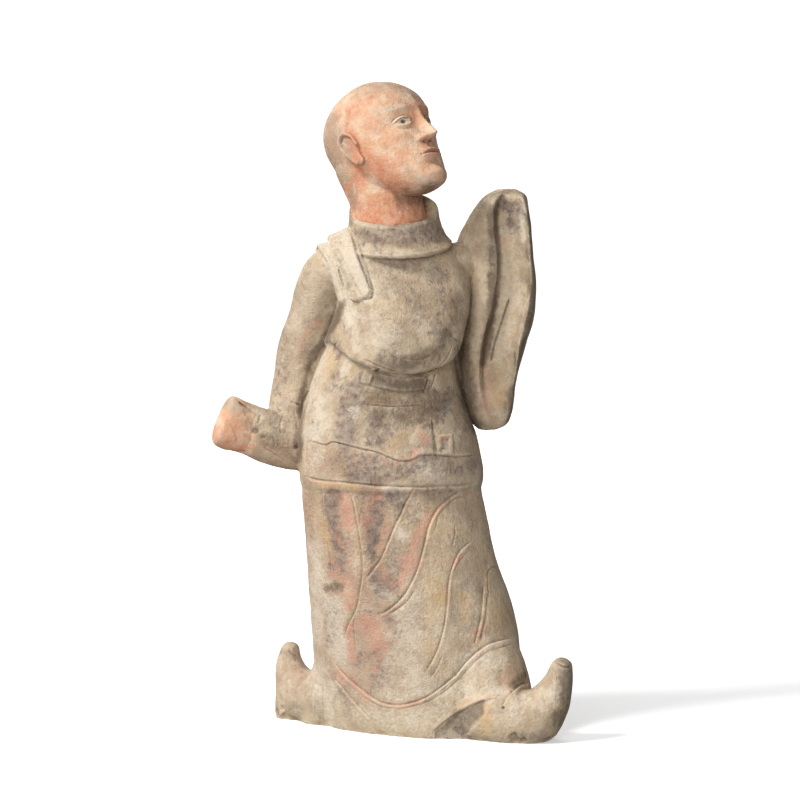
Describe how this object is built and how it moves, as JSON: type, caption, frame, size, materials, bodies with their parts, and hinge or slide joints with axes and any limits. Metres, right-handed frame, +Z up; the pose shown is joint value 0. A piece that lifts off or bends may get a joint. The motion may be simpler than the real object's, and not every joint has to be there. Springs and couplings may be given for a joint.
{
  "type": "painted pottery figure",
  "caption": "Standing pottery figure of a bald man in a breastplate, long skirt and upturned shoes, head thrown back, one fist held out and one long sleeve raised.",
  "frame": {"origin": "centre of the bounding box on the flat underside, in the plane the figure stands on", "axes": "+Z up, -Y the way the hips face, +X to the figure's own left, where the sleeve is"},
  "size_m": [0.3432, 0.1694, 0.62],
  "materials": {
    "painted_pottery": "matte fired clay with worn slip and pigment"
  },
  "bodies": {
    "root": {"figure": "painted_pottery"}
  },
  "joints": []
}
